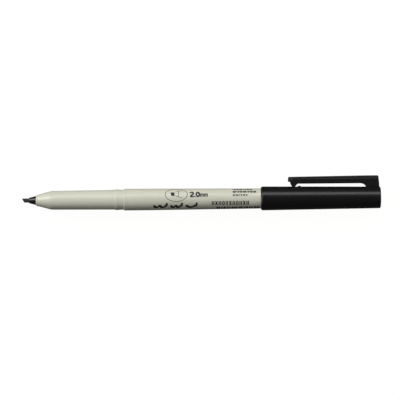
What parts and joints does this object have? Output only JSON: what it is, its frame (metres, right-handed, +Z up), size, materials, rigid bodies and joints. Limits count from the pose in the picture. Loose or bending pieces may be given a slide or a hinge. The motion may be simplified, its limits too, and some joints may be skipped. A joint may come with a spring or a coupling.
{
  "type": "calligraphy marker",
  "caption": "Chisel-nib calligraphy marker with an ivory barrel, its black snap cap with pocket clip posted on the tail.",
  "frame": {"origin": "on the surface the pen lies on, under the middle of its outline", "axes": "+X along the pen from the nib to the closed end of the posted cap, +Y to the side the clip points to, +Z up"},
  "size_m": [0.1496, 0.0142, 0.01],
  "materials": {
    "barrel_ivory": "satin moulded polypropylene",
    "cap_black": "satin moulded polypropylene",
    "holder_black": "glossy moulded acetal",
    "nib_fibre": "bonded fibre soaked with black ink",
    "reservoir_fibre": "bundled fibre soaked with ink",
    "reservoir_film": "clear wrapping film",
    "liner_natural": "uncoloured soft polyethylene",
    "print_black": "pad-printed ink film"
  },
  "bodies": {
    "barrel": {"barrel": "barrel_ivory", "tail_plug": "barrel_ivory", "nib_holder": "holder_black", "nib": "nib_fibre", "ink_reservoir": "reservoir_fibre", "reservoir_film": "reservoir_film"},
    "cap": {"cap_shell": "cap_black", "inner_cap": "liner_natural"},
    "clip": {"pocket_clip": "cap_black"}
  },
  "joints": [
    {"name": "cap_slide", "type": "slide", "parent": "barrel", "child": "cap", "axis": [1, 0, 0], "range_m": [0, 0.032]},
    {"name": "clip_flex", "type": "hinge", "parent": "cap", "child": "clip", "pos_m": [0.0684, 0.0051, 0.00227], "axis": [0, -0.355, -0.9349], "range_deg": [0, 5], "stiffness_Nm_per_rad": 1}
  ]
}
